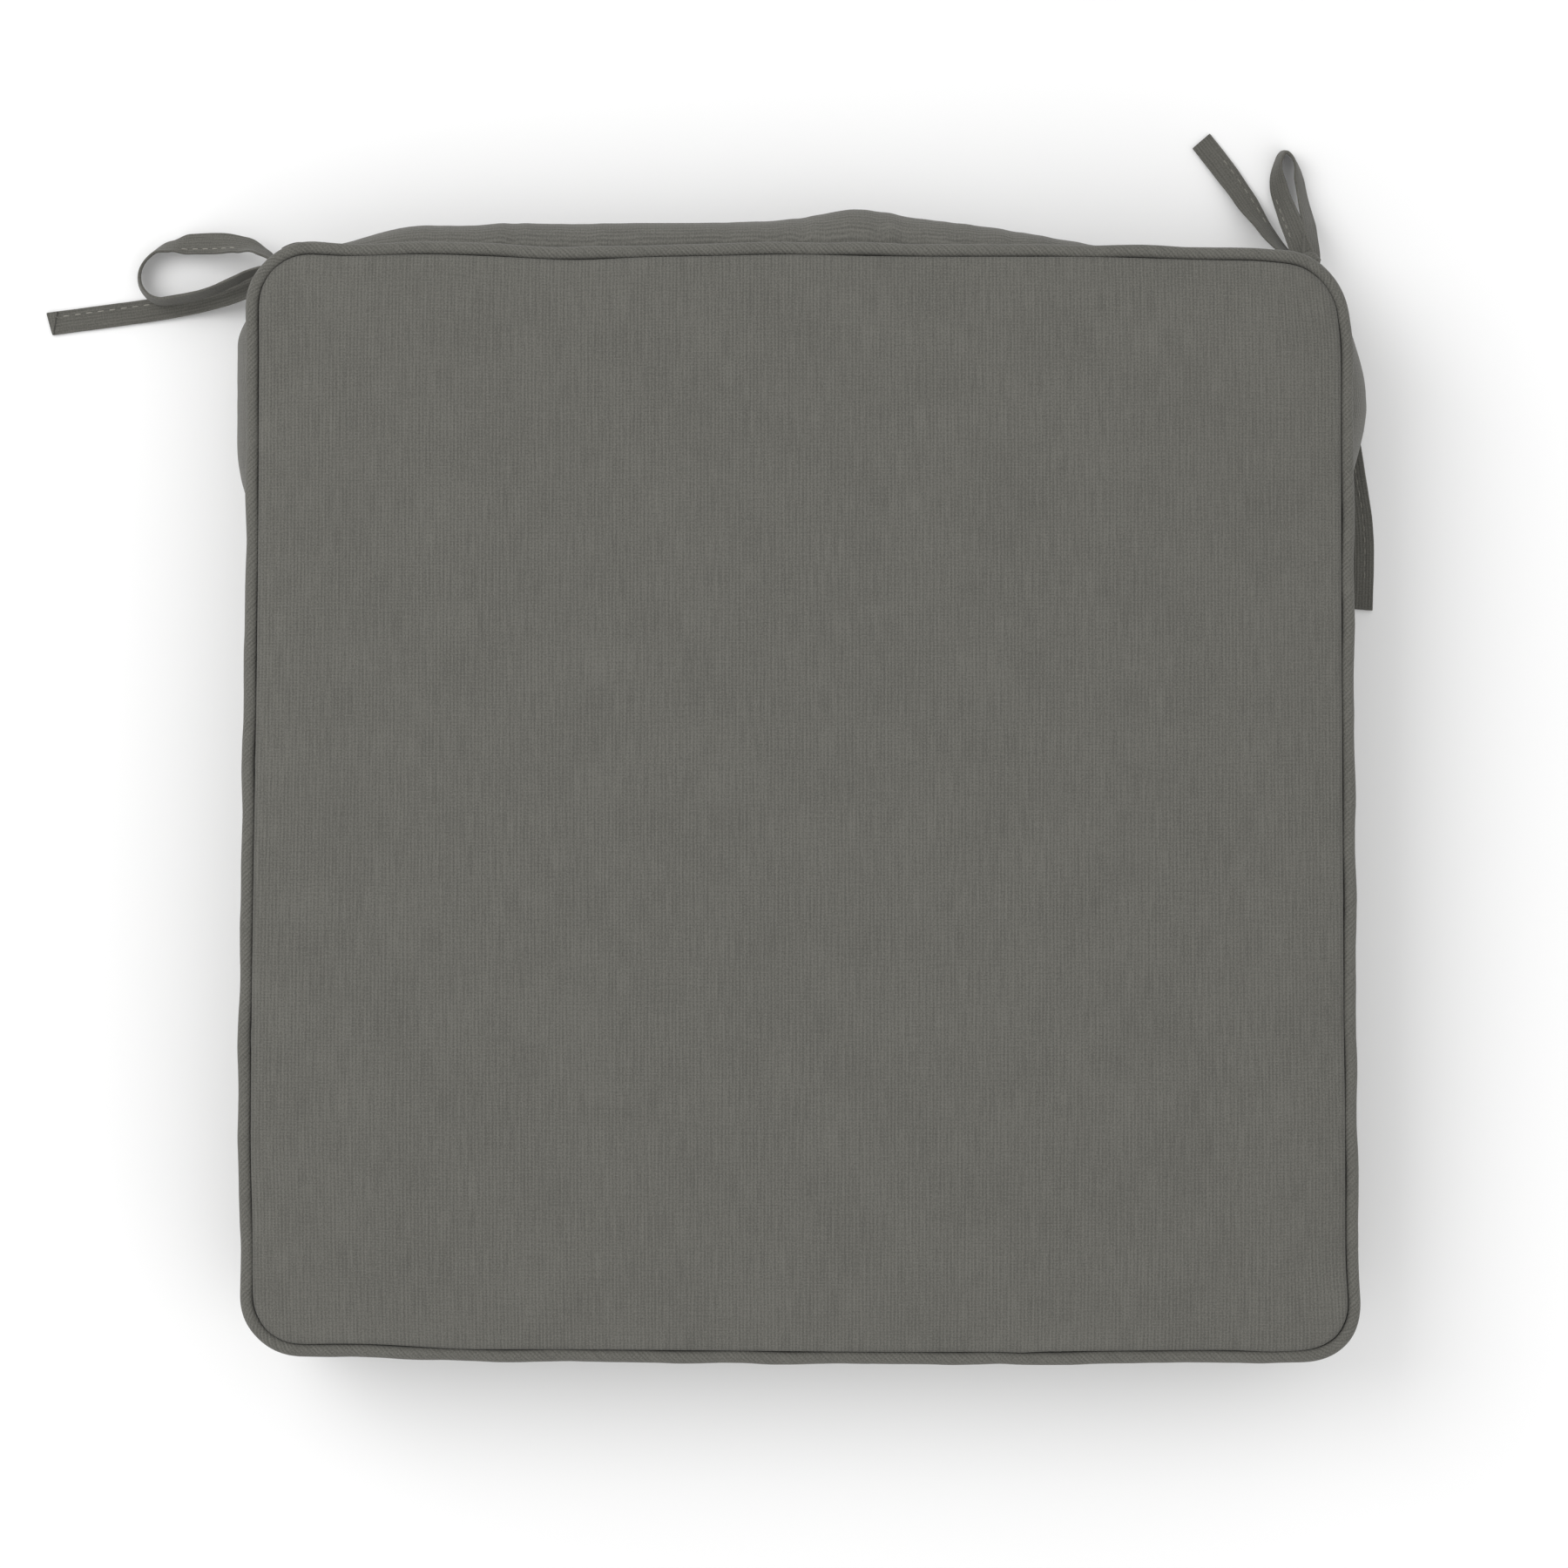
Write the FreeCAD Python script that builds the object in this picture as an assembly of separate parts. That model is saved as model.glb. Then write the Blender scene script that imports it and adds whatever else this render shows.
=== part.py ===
"""Boxed chair seat pad with welted edges, a rear zip and two pairs of corner ties.

+X is the pad's right, +Y its rear and +Z up. The origin is the centre of the underside.
"""
import FreeCAD, Part
import math
import os

# ---- driving dimensions, in millimetres -------------------------------------------------------

PAD_SIDE = 508.0            # square, over the welts
OUTER_CORNER_R = 28.0       # plan radius of a corner, over the welt
WELT_D = 6.4                # covered piping
WELT_CLOTH = 0.8            # cloth that wraps the piping
SEAM_RISE = 66.0            # from the bottom welt's centre to the top welt's centre
FLOOR_GAP = 0.5             # the bottom welt just clears the surface the pad lies on
CROWN_TOP = 80.0            # highest point of the top panel
CROWN_DROP = 6.0            # how much lower the panel is at its edges
EDGE_ROLL = 6.0             # the top panel rolls down into the seam over this width
LOW_ROLL = 3.2              # the same for the bottom panel
CLOTH_T = 1.0               # cover cloth, as a solid sheet
CLOSE_FIT = 0.05            # between pieces that lie against each other
RUN_FIT = 0.3               # between pieces that slide or turn past each other

ZIP_Z = 22.0                # height of the zip's centre line
ZIP_HALF = 196.0            # half the length of the row of coils
ZIP_MOUTH = 5.5             # half the opening between the two plackets
COIL_W = 2.4
COIL_T = 1.6
COIL_GAP = 1.2              # between the two rows, where the slider's web runs
TAPE_W = 11.4
TAPE_T = 0.5
SLIDER_LENGTH = 11.0
SLIDER_WIDTH = 8.8
SLIDER_PLATE = 1.0
SLIDER_X = 188.0            # closed
PULL_LENGTH = 24.0
PULL_WIDTH = 6.0

TIE_WIDTH = 11.0            # folded and stitched flat
TIE_T = 1.6
TIE_LYING_Z = 0.95          # centre of a tie that lies flat on the surface
KNOT_R = 5.2
KNOT_H = 15.0
KNOT_Z = 28.0
ROOT_Z = 28.0               # centre of the sewn end of each tie
LEFT_KNOT = (-242.0, 249.7)
RIGHT_KNOT = (237.6, 252.1)

# ---- sizes that follow from them --------------------------------------------------------------

HALF = PAD_SIDE / 2
CORNER = HALF - OUTER_CORNER_R              # x and y of a corner's centre
WELT_R = WELT_D / 2
WELT_HALF = HALF - WELT_R
LOW_WELT_Z = FLOOR_GAP + WELT_R
HIGH_WELT_Z = LOW_WELT_Z + SEAM_RISE
PANEL_HALF = WELT_HALF - WELT_R - 0.2
BOX_OUT = HALF - 5.0                        # outer face of the boxing
BOX_IN = BOX_OUT - CLOTH_T
BOX_LOW = LOW_WELT_Z + WELT_R + 0.3
BOX_HIGH = HIGH_WELT_Z - WELT_R - 0.3
REAR_END = CORNER - 0.3                     # the rear boxing reaches this far to each side
FOAM_HALF = BOX_IN - 0.9
FOAM_LOW = LOW_WELT_Z + 0.65
FOAM_HIGH = HIGH_WELT_Z - 0.65
FOAM_BEVEL = 3.5                            # lets the welts' inner sides in
CROWN_R = PANEL_HALF ** 2 / (2 * CROWN_DROP)
TAPE_FACE = BOX_IN - CLOSE_FIT              # outer face of the zip tapes
COIL_FACE = BOX_IN + COIL_T                 # outer face of the coils


def vec(x, y, z=0.0):
    return FreeCAD.Vector(x, y, z)


def box(x0, x1, y0, y1, z0, z1):
    """A block between two corners."""
    return Part.makeBox(x1 - x0, y1 - y0, z1 - z0, vec(x0, y0, z0))


def write(name, shape):
    """Saves one sub-part and prints its volume."""
    shape.exportStep("parts/" + name + ".step")
    low = shape.BoundBox
    print("%-22s %d solid(s) %10.1f mm3  z %.2f to %.2f  valid %s"
          % (name, len(shape.Solids), shape.Volume, low.ZMin, low.ZMax, shape.isValid()))


# ---- rounded squares, which every layer of the pad is cut to ----------------------------------

def rounded_square(half, z):
    """Closed wire of four sides and four quarter arcs about the corners' centres."""
    radius = half - CORNER
    slant = radius * math.sqrt(0.5)
    edges = []
    for turn in range(4):
        angle = 90.0 * turn
        side = Part.LineSegment(vec(half, -CORNER, z), vec(half, CORNER, z)).toShape()
        arc = Part.Arc(vec(half, CORNER, z), vec(CORNER + slant, CORNER + slant, z),
                       vec(CORNER, half, z)).toShape()
        for edge in (side, arc):
            edge.rotate(vec(0, 0, 0), vec(0, 0, 1), angle)
            edges.append(edge)
    return Part.Wire(edges)


def slab(half, z0, z1):
    """Rounded square block of one size all the way up."""
    return Part.Face(rounded_square(half, z0)).extrude(vec(0, 0, z1 - z0))


def bevelled(half_low, z0, half_high, z1):
    """Rounded square block whose size changes evenly from bottom to top."""
    return Part.makeLoft([rounded_square(half_low, z0), rounded_square(half_high, z1)], True, True)


def ring(half_out, half_in, z0, z1):
    """Upright wall that follows the rounded square."""
    return slab(half_out, z0, z1).cut(slab(half_in, z0 - 1, z1 + 1))


def crowned_block(inset, z_low):
    """Block under a crowned top: flat seam edges, a rolled shoulder and a low crown.

    The crown is where two wide cylinders cross, so every edge of the top is the same height.
    """
    half = PANEL_HALF - inset
    shoulder = HIGH_WELT_Z + 1.5
    top = CROWN_TOP - inset
    body = slab(half, z_low, shoulder)
    roll = bevelled(half, shoulder, half - EDGE_ROLL, shoulder + EDGE_ROLL)
    upper = slab(half - EDGE_ROLL, shoulder + EDGE_ROLL, top + 5)
    block = body.fuse([roll, upper])
    for axis, side in ((vec(0, 1, 0), (0, -HALF)), (vec(1, 0, 0), (-HALF, 0))):
        barrel = Part.makeCylinder(CROWN_R, PAD_SIDE, vec(side[0], side[1], top - CROWN_R), axis)
        block = block.common(barrel)
    return block.removeSplitter()


def tray_block(inset):
    """Block above a flat bottom whose rim rolls up to the seam."""
    half = PANEL_HALF - inset
    roll = bevelled(half - LOW_ROLL, inset, half, inset + LOW_ROLL)
    return roll.fuse(slab(half, inset + LOW_ROLL, LOW_WELT_Z + 3)).removeSplitter()


# ---- the cover --------------------------------------------------------------------------------

def top_panel():
    """Crowned cloth lid that ends in the upper seam."""
    return crowned_block(0.0, HIGH_WELT_Z - 0.5).cut(crowned_block(CLOTH_T, HIGH_WELT_Z - 2.0))


def bottom_panel():
    """Flat cloth tray that ends in the lower seam."""
    rim = slab(HALF, LOW_WELT_Z + 1.0, LOW_WELT_Z + 10.0)
    return tray_block(0.0).cut(tray_block(CLOTH_T)).cut(rim)


def tube_round(z, radius_out, radius_in=0.0):
    """Tube, or a solid rod, carried once round the welt's line."""
    path = rounded_square(WELT_HALF, z)
    rods = []
    for radius in (radius_out, radius_in):
        if radius:
            start = Part.Circle(vec(WELT_HALF, -CORNER, z), vec(0, 1, 0), radius).toShape()
            rods.append(path.makePipeShell([Part.Wire(start)], True, False))
    return rods[0].cut(rods[1]) if len(rods) > 1 else rods[0]


def side_boxing():
    """One strip round the left side, the front and the right side."""
    wall = ring(BOX_OUT, BOX_IN, BOX_LOW, BOX_HIGH)
    return wall.cut(box(-CORNER, CORNER, CORNER, HALF, 0, CROWN_TOP))


def rear_boxing_upper():
    """Slack strip above the zip, which billows between the corner seams.

    (place across the pad, how far it stands out there)
    """
    billow = [(-REAR_END, 0.6), (-170.0, 12.0), (-77.0, 16.0), (20.0, 17.0), (110.0, 12.0),
              (170.0, 6.5), (REAR_END, 0.6)]
    low = ZIP_Z + ZIP_MOUTH + 0.5
    middle = (low + BOX_HIGH) / 2
    sections = []
    for x, out in billow:
        outer = Part.Arc(vec(x, BOX_OUT, low), vec(x, BOX_OUT + out, middle),
                         vec(x, BOX_OUT, BOX_HIGH)).toShape()
        inner = Part.Arc(vec(x, BOX_IN, low), vec(x, BOX_IN + out, middle),
                         vec(x, BOX_IN, BOX_HIGH)).toShape()
        foot = Part.LineSegment(vec(x, BOX_IN, low), vec(x, BOX_OUT, low)).toShape()
        head = Part.LineSegment(vec(x, BOX_OUT, BOX_HIGH), vec(x, BOX_IN, BOX_HIGH)).toShape()
        sections.append(Part.Wire([foot, outer, head, inner]))
    return Part.makeLoft(sections, True, False)


def rear_boxing_lower():
    """Narrow strip between the zip and the bottom seam."""
    return box(-REAR_END, REAR_END, BOX_IN, BOX_OUT, BOX_LOW, ZIP_Z - ZIP_MOUTH)


# ---- the filling ------------------------------------------------------------------------------

def foam_core():
    """Foam block, bevelled beside the welts, with a shallow groove for the zip slider."""
    inner = FOAM_HALF - FOAM_BEVEL + 0.3
    low = bevelled(inner, FOAM_LOW, FOAM_HALF, FOAM_LOW + FOAM_BEVEL)
    mid = slab(FOAM_HALF, FOAM_LOW + FOAM_BEVEL, FOAM_HIGH - FOAM_BEVEL)
    high = bevelled(FOAM_HALF, FOAM_HIGH - FOAM_BEVEL, inner, FOAM_HIGH)
    groove = box(-213, 213, FOAM_HALF - 1.5, HALF, ZIP_Z - 6, ZIP_Z + 6)
    return low.fuse([mid, high]).removeSplitter().cut(groove)


def fibre_wrap_top():
    """Fibre layer that fills the crown over the foam."""
    return crowned_block(CLOTH_T + CLOSE_FIT, FOAM_HIGH + CLOSE_FIT)


def fibre_wrap_bottom():
    """Thin fibre layer under the foam."""
    above = slab(HALF, FOAM_LOW - CLOSE_FIT, FOAM_LOW + 20)
    return tray_block(CLOTH_T + CLOSE_FIT).cut(above)


# ---- the zip ----------------------------------------------------------------------------------

def zip_tape(side):
    """Tape behind one row of coils; side is 1 above the zip's line and -1 below it."""
    near = ZIP_Z + side * COIL_GAP / 2
    far = ZIP_Z + side * min(TAPE_W, 9.9 if side < 0 else TAPE_W)
    return box(-212, 212, TAPE_FACE - TAPE_T, TAPE_FACE, min(near, far), max(near, far))


def zip_coil(side):
    """One row of coils, as a rod with rounded outer corners."""
    near = ZIP_Z + side * COIL_GAP / 2
    far = near + side * COIL_W
    row = box(-ZIP_HALF, ZIP_HALF, BOX_IN, COIL_FACE, min(near, far), max(near, far))
    outer = [e for e in row.Edges if e.Length > ZIP_HALF and abs(e.CenterOfMass.y - COIL_FACE) < 0.01]
    return row.makeFillet(0.6, outer)


def zip_stop(x, z0, z1):
    """Small clip crimped over the end of a row."""
    return box(x - 1.4, x + 1.4, BOX_IN, COIL_FACE + 0.2, z0, z1)


def zip_bottom_stop():
    """One clip across both rows at the end where the slider stops open."""
    reach = COIL_GAP / 2 + COIL_W
    return zip_stop(-ZIP_HALF - 1.5, ZIP_Z - reach, ZIP_Z + reach)


def zip_top_stops():
    """A clip on each row at the closed end."""
    near = COIL_GAP / 2
    far = near + COIL_W
    x = ZIP_HALF + 1.5
    return Part.makeCompound([zip_stop(x, ZIP_Z + near, ZIP_Z + far),
                              zip_stop(x, ZIP_Z - far, ZIP_Z - near)])


def zip_end_tabs():
    """Cloth tabs that close the plackets past each end of the zip."""
    low = ZIP_Z - ZIP_MOUTH + CLOSE_FIT
    high = ZIP_Z + ZIP_MOUTH + 0.4
    near = ZIP_HALF + 5.1
    return Part.makeCompound([box(x0, x1, BOX_IN, BOX_OUT, low, high)
                              for x0, x1 in ((-REAR_END, -near), (near, REAR_END))])


def zip_slider():
    """Two plates joined by a web between the rows, with a bridge for the pull."""
    outer_in = COIL_FACE + RUN_FIT
    outer_out = outer_in + SLIDER_PLATE
    inner_out = TAPE_FACE - TAPE_T - RUN_FIT
    half = SLIDER_LENGTH / 2
    wide = SLIDER_WIDTH / 2
    x = SLIDER_X
    outer = box(x - half, x + half, outer_in, outer_out, ZIP_Z - wide, ZIP_Z + wide)
    corners = [e for e in outer.Edges if abs(e.tangentAt(e.FirstParameter).y) > 0.9]
    outer = outer.makeFillet(2.2, corners)
    inner = box(x - half, x + half, inner_out - SLIDER_PLATE, inner_out, ZIP_Z - wide, ZIP_Z + wide)
    corners = [e for e in inner.Edges if abs(e.tangentAt(e.FirstParameter).y) > 0.9]
    inner = inner.makeFillet(2.2, corners)
    web = box(x - 1, x + 4, inner_out, outer_in, ZIP_Z - 0.3, ZIP_Z + 0.3)
    lips = [box(x - half + 2.4, x + half - 2.4, outer_in - 1.2, outer_in, z, z + 0.9)
            for z in (ZIP_Z - wide, ZIP_Z + wide - 0.9)]
    bar = box(x - 3.5, x + 3.5, outer_out, outer_out + 2.6, ZIP_Z - 1, ZIP_Z + 1)
    arch = [e for e in bar.Edges if abs(e.tangentAt(e.FirstParameter).z) > 0.9
            and e.CenterOfMass.y > outer_out + 1]
    bar = bar.makeFillet(1.2, arch)
    gap = box(x - 2.5, x + 2.5, outer_out - 0.01, outer_out + 1.6, ZIP_Z - 2, ZIP_Z + 2)
    return outer.fuse([inner, web, bar.cut(gap)] + lips).removeSplitter()


def pull_axis():
    """x and y of the upright line that the pull turns about."""
    return SLIDER_X, COIL_FACE + RUN_FIT + SLIDER_PLATE + 0.8


def zip_pull():
    """Flat tab with a square eye; its end bar passes under the slider's bridge."""
    x, y = pull_axis()
    wide = PULL_WIDTH / 2
    tab = box(x - PULL_LENGTH, x, y - 0.5, y + 0.5, ZIP_Z - wide, ZIP_Z + wide)
    rounded = [e for e in tab.Edges if abs(e.tangentAt(e.FirstParameter).y) > 0.9
               and e.CenterOfMass.x < x - 5]
    tab = tab.makeFillet(2.4, rounded)
    eye = box(x - 4.7, x - 0.5, y - 2, y + 2, ZIP_Z - 1.5, ZIP_Z + 1.5)
    hole = Part.makeCylinder(1.3, 4, vec(x - PULL_LENGTH + 4, y - 2, ZIP_Z), vec(0, 1, 0))
    bar = Part.makeCylinder(0.5, PULL_WIDTH, vec(x, y, ZIP_Z - wide))
    return tab.cut(eye).cut(hole).fuse(bar).removeSplitter()


# ---- the ties ---------------------------------------------------------------------------------

# Each route runs out from its knot: x, y and z of the tape's centre line.
LEFT_TAIL = [(-248.0, 246.0, 21.5), (-260.0, 241.8, 15.5), (-279.5, 237.7, 5.0),
             (-302.0, 234.0, 1.2), (-328.0, 230.5, TIE_LYING_Z), (-353.8, 227.0, TIE_LYING_Z)]
LEFT_LOOP = [(-245.6, 255.5, 27.8), (-252.5, 260.8, 25.0), (-265.5, 264.3, 17.0),
             (-280.0, 264.8, 9.0), (-293.5, 264.0, 5.8), (-305.5, 261.2, 5.8),
             (-314.0, 253.5, 5.8), (-313.5, 242.5, 7.2), (-304.5, 236.5, 9.4),
             (-290.0, 238.2, 11.6), (-276.5, 241.6, 16.0), (-264.5, 245.8, 23.0),
             (-255.0, 249.6, 27.8), (-249.2, 250.6, 29.0)]
LEFT_REAR_TAIL = [(-239.6, 255.9, 28.2), (-233.0, 258.6, 26.0), (-219.0, 258.8, 15.0),
                  (-201.0, 257.8, 6.4), (-178.0, 257.2, 5.8), (-155.5, 257.4, 5.8)]
RIGHT_TAIL = [(231.6, 255.6, 20.6), (225.3, 260.8, 17.0), (216.6, 276.0, 6.5),
              (203.5, 297.2, 1.4), (190.4, 313.6, TIE_LYING_Z)]
RIGHT_LOOP = [(235.0, 258.3, 28.8), (232.9, 266.5, 24.5), (229.6, 277.5, 14.0),
              (226.6, 288.5, 7.5), (225.0, 299.5, 5.8), (228.9, 309.6, 5.8),
              (235.0, 303.5, 5.8), (236.6, 291.5, 6.8), (238.4, 279.5, 12.5),
              (239.9, 268.0, 21.5), (239.6, 258.8, 28.3)]
RIGHT_SIDE_TAIL = [(243.3, 248.5, 24.0), (249.2, 240.0, 22.5), (252.7, 226.5, 18.5),
                   (255.6, 208.0, 12.9), (257.6, 189.5, 7.2), (259.0, 170.0, 5.8),
                   (262.2, 150.0, 5.8), (265.6, 130.0, 5.8), (266.8, 110.5, 5.8),
                   (266.5, 91.6, 5.8)]


def smooth_wire(name, route):
    """Straight runs joined by tangent arcs, each as wide as its two runs allow."""
    points = [vec(*p) for p in route]
    edges = []
    radii = []
    start = points[0]
    for before, corner, after in zip(points, points[1:], points[2:]):
        back = (before - corner).normalize()
        ahead = (after - corner).normalize()
        turn = math.pi - back.getAngle(ahead)
        reach = 0.45 * min((before - corner).Length, (after - corner).Length)
        radius = reach / math.tan(turn / 2)
        radii.append(radius)
        arc_start = corner + back * reach
        arc_end = corner + ahead * reach
        inward = (back + ahead).normalize()
        middle = corner + inward * (radius / math.cos(turn / 2) - radius)
        edges.append(Part.LineSegment(start, arc_start).toShape())
        edges.append(Part.Arc(arc_start, middle, arc_end).toShape())
        start = arc_end
    edges.append(Part.LineSegment(start, points[-1]).toShape())
    wire = Part.Wire(edges)
    print("%-16s length %.1f, radii %s" % (name, wire.Length, ["%.0f" % r for r in radii]))
    return wire


def tape(name, route, upright):
    """Flat tape along a route, lying flat or standing on its edge."""
    path = smooth_wire(name, route)
    start = vec(*route[0])
    along = vec(*route[1]) - start
    along.z = 0
    along.normalize()
    across = vec(-along.y, along.x, 0)
    up = vec(0, 0, 1)
    thick, high = (TIE_T, TIE_WIDTH) if upright else (TIE_WIDTH, TIE_T)
    corners = [start + across * (a * thick / 2) + up * (b * high / 2)
               for a, b in ((-1, -1), (1, -1), (1, 1), (-1, 1))]
    section = Part.makePolygon(corners + corners[:1])
    sweep = Part.BRepOffsetAPI.MakePipeShell(path)
    sweep.setBiNormalMode(up)
    sweep.add(section)
    sweep.build()
    sweep.makeSolid()
    solid = Part.Solid(sweep.shape()) if not sweep.shape().Solids else sweep.shape().Solids[0]
    print("   volume %.0f, section times length %.0f" % (solid.Volume, TIE_WIDTH * TIE_T * path.Length))
    return solid


def knot(centre):
    """Half-bow knot, as a short barrel with rounded rims."""
    barrel = Part.makeCylinder(KNOT_R, KNOT_H, vec(centre[0], centre[1], KNOT_Z - KNOT_H / 2))
    rims = [e for e in barrel.Edges if e.Closed]
    return barrel.makeFillet(3.5, rims)


def tie_root(centre, side):
    """Sewn end of the ties, from the corner seam to the knot; side is 1 right and -1 left."""
    y0 = BOX_OUT + CLOSE_FIT
    seam = side * (CORNER + 0.5)
    knot_side = centre[0]
    strip = box(min(seam, knot_side), max(seam, knot_side), y0, y0 + TIE_T,
                ROOT_Z - TIE_WIDTH / 2, ROOT_Z + TIE_WIDTH / 2)
    room = Part.makeCylinder(KNOT_R + CLOSE_FIT, 60, vec(centre[0], centre[1], 0))
    near = strip.cut(room)
    return min(near.Solids, key=lambda s: abs(s.CenterOfMass.x - seam))


def main():
    os.makedirs("parts", exist_ok=True)
    write("top_panel", top_panel())
    write("bottom_panel", bottom_panel())
    write("side_boxing", side_boxing())
    write("rear_boxing_upper", rear_boxing_upper())
    write("rear_boxing_lower", rear_boxing_lower())
    core_r = WELT_R - WELT_CLOTH - CLOSE_FIT
    for place, z in (("top", HIGH_WELT_Z), ("bottom", LOW_WELT_Z)):
        write(place + "_welt_sleeve", tube_round(z, WELT_R, WELT_R - WELT_CLOTH))
        write(place + "_welt_cord", tube_round(z, core_r))
    write("foam_core", foam_core())
    write("fibre_wrap_top", fibre_wrap_top())
    write("fibre_wrap_bottom", fibre_wrap_bottom())
    for place, side in (("upper", 1), ("lower", -1)):
        write("zip_tape_" + place, zip_tape(side))
        write("zip_coil_" + place, zip_coil(side))
    write("zip_bottom_stop", zip_bottom_stop())
    write("zip_top_stops", zip_top_stops())
    write("zip_end_tabs", zip_end_tabs())
    write("zip_slider", zip_slider())
    write("zip_pull", zip_pull())
    for place, centre, side in (("left", LEFT_KNOT, -1), ("right", RIGHT_KNOT, 1)):
        write(place + "_tie_root", tie_root(centre, side))
        write(place + "_knot", knot(centre))
    write("left_tail", tape("left_tail", LEFT_TAIL, False))
    write("left_loop", tape("left_loop", LEFT_LOOP, True))
    write("left_rear_tail", tape("left_rear_tail", LEFT_REAR_TAIL, True))
    write("right_tail", tape("right_tail", RIGHT_TAIL, False))
    write("right_loop", tape("right_loop", RIGHT_LOOP, True))
    write("right_side_tail", tape("right_side_tail", RIGHT_SIDE_TAIL, True))
    print("pull axis", pull_axis())


if __name__ == "__main__":
    main()
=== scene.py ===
"""Looks of a boxed chair seat pad: cover with piped edges, rear zip, filling and corner ties.

Every length inside the shape functions is in millimetres; build() turns them into metres.
"""
import math

import bmesh
import bpy
import numpy as np
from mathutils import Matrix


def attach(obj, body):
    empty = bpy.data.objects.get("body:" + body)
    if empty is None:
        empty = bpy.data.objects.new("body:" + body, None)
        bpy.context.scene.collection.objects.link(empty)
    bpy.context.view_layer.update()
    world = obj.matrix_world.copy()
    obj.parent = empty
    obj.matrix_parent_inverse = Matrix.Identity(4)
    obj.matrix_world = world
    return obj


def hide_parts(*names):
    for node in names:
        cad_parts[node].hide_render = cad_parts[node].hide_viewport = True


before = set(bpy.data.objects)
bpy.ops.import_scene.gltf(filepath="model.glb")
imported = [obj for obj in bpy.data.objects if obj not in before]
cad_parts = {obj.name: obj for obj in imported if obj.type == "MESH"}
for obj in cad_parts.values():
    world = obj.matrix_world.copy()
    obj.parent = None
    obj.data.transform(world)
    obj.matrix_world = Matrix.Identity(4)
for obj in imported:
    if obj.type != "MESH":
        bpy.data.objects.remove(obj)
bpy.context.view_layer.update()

bl_info = {
    "name": "Seat pad looks",
    "version": (1, 0, 0),
    "blender": (4, 5, 0),
    "location": "3D View > Sidebar > Seat pad",
    "description": "Builds the cloth, piping, zip, filling and ties of a boxed chair seat pad",
    "category": "Object",
}

MM = 0.001

# ---- sizes shared with the frame, in millimetres ----

CORNER = 226.0              # x and y of each corner's centre
WELT_LINE = 250.8           # half width of the pad along the middle of the piping
WELT_R = 3.2
LOW_WELT_Z = 3.7
HIGH_WELT_Z = 69.7
SEAM_LINE = 248.2           # half width along the seam inside the piping
BOX_LINE = 247.8            # half width of the boxing where it leaves a seam
# each corner: the side it is on in x and y, and how far out it is pushed in x and y
CORNER_SHIFTS = ((-1, -1, -0.5, 0.4), (1, -1, 2.0, 1.6), (-1, 1, 0.2, 0.2), (1, 1, -3.0, -2.6))
ZIP_Z = 22.0
ZIP_MOUTH = 5.5
TAPE_FACE = 247.95          # front of the zip tapes
COIL_HALF = 196.0           # half length of the zip's coils
BAND_HALF = 212.0           # half length of the zip's tapes
COIL_PITCH = 1.4
PLACKET_HEM = 1.2           # how far a placket's hem stands out over the zip
LID_COUNT = 101             # grid points along a side of the top panel
PANEL_CROWDING = 0.6        # how much the panels' grids crowd toward their seams
ARC = math.pi / 2 * 24.0    # a corner's share of the way round
QUARTER = 2 * CORNER + ARC
LEFT_KNOT = (-242.0, 249.7, 28.0)
RIGHT_KNOT = (237.6, 252.1, 28.0)

# ---- the ties' routes: the frame's points, some of them moved a few millimetres ----

LEFT_TAIL = [(-248.0, 246.0, 21.5), (-260.0, 241.8, 15.5), (-279.5, 237.7, 5.0),
             (-302.0, 234.0, 1.2), (-328.0, 230.5, 0.95), (-355.0, 226.9, 0.95)]
LEFT_LOOP = [(-245.4, 253.6, 27.8), (-252.5, 259.6, 25.0), (-265.5, 263.0, 17.0),
             (-280.0, 264.0, 9.0), (-293.5, 263.8, 5.8), (-304.4, 261.2, 5.8),
             (-311.8, 253.0, 5.8), (-311.2, 243.0, 7.2), (-303.5, 236.0, 9.4),
             (-290.0, 237.4, 11.6), (-276.5, 240.4, 16.0), (-264.5, 244.8, 23.0),
             (-255.0, 248.8, 27.8), (-247.4, 250.0, 28.8)]
LEFT_REAR_TAIL = [(-240.6, 255.4, 28.2), (-237.0, 258.2, 26.4), (-226.5, 257.6, 17.5),
                  (-203.0, 256.4, 7.0), (-178.0, 256.6, 5.8), (-155.5, 257.4, 5.8)]
RIGHT_TAIL = [(232.0, 255.0, 21.2), (225.3, 260.8, 17.0), (216.6, 276.0, 6.5),
              (203.5, 297.2, 1.4), (190.4, 313.6, 0.95)]
RIGHT_LOOP = [(236.0, 253.6, 28.6), (233.0, 264.5, 25.2), (229.6, 277.5, 14.0),
              (226.6, 288.5, 7.5), (225.0, 299.5, 5.8), (228.9, 309.6, 5.8),
              (235.0, 303.5, 5.8), (236.6, 291.5, 6.8), (238.4, 279.5, 12.5),
              (239.9, 267.0, 22.5), (239.2, 254.2, 28.4)]
# the last half lies flat here, where the frame keeps it on its edge
RIGHT_SIDE_TAIL = [(243.3, 248.5, 24.0), (249.2, 240.0, 22.5), (252.7, 226.5, 18.5),
                   (255.6, 208.0, 12.9), (257.6, 189.5, 6.8), (260.2, 170.0, 2.6),
                   (263.6, 150.0, 1.1), (266.8, 130.0, 0.95), (266.9, 110.5, 0.95),
                   (266.2, 91.6, 0.95)]


# ---- colours and materials ----

def linear(code):
    """Linear red, green and blue of an sRGB hex colour."""
    shares = [int(code[i:i + 2], 16) / 255 for i in (0, 2, 4)]
    return tuple(c / 12.92 if c <= 0.04045 else ((c + 0.055) / 1.055) ** 2.4 for c in shares)


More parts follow.
